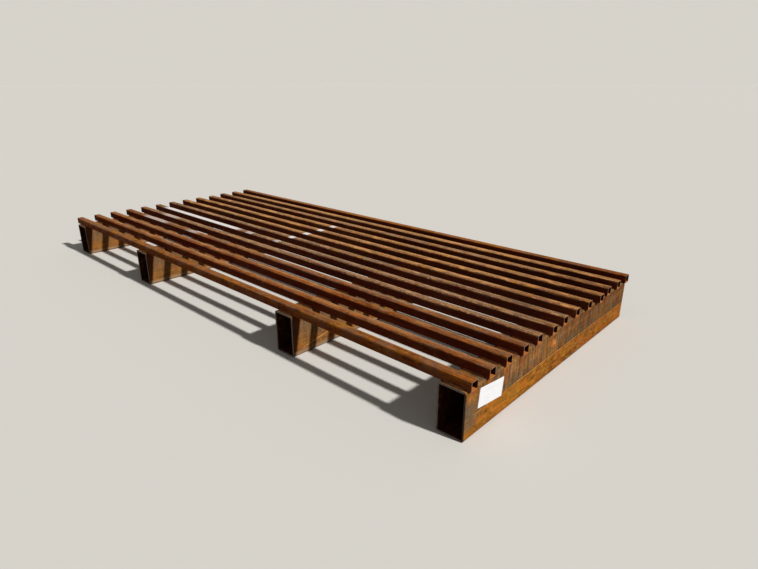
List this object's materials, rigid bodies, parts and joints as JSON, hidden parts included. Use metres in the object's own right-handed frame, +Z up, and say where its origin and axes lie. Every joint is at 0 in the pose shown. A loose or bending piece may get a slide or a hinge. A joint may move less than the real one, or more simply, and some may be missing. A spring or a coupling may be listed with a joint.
{
  "type": "cattle grid",
  "caption": "Welded steel cattle grid: open square tube rails lying across deep box section beams, laid over a pit so that vehicles cross and livestock do not.",
  "frame": {"origin": "under the middle of the overall box, on the plane that the beams rest on", "axes": "+X along the rails towards the end with the smaller overhang, +Y across the rails from the front rail to the back one, +Z up"},
  "size_m": [4.284, 1.8548, 0.3048],
  "materials": {
    "rusty_rail_steel": "rusted mill finish",
    "rusty_beam_steel": "rusted mill finish with grey scale",
    "weld_metal": "as welded, rusted",
    "paint_mark": "matt, worn",
    "label_film": "satin"
  },
  "bodies": {
    "root": {"rail_01": "rusty_rail_steel", "rail_02": "rusty_rail_steel", "rail_03": "rusty_rail_steel", "rail_04": "rusty_rail_steel", "rail_05": "rusty_rail_steel", "rail_06": "rusty_rail_steel", "rail_07": "rusty_rail_steel", "rail_08": "rusty_rail_steel", "rail_09": "rusty_rail_steel", "rail_10": "rusty_rail_steel", "rail_11": "rusty_rail_steel", "rail_12": "rusty_rail_steel", "rail_13": "rusty_rail_steel", "cross_beam_left_end": "rusty_beam_steel", "rail_welds_left_end": "weld_metal", "cross_beam_left_inner": "rusty_beam_steel", "rail_welds_left_inner": "weld_metal", "cross_beam_right_inner": "rusty_beam_steel", "rail_welds_right_inner": "weld_metal", "cross_beam_right_end": "rusty_beam_steel", "rail_welds_right_end": "weld_metal"}
  },
  "joints": []
}
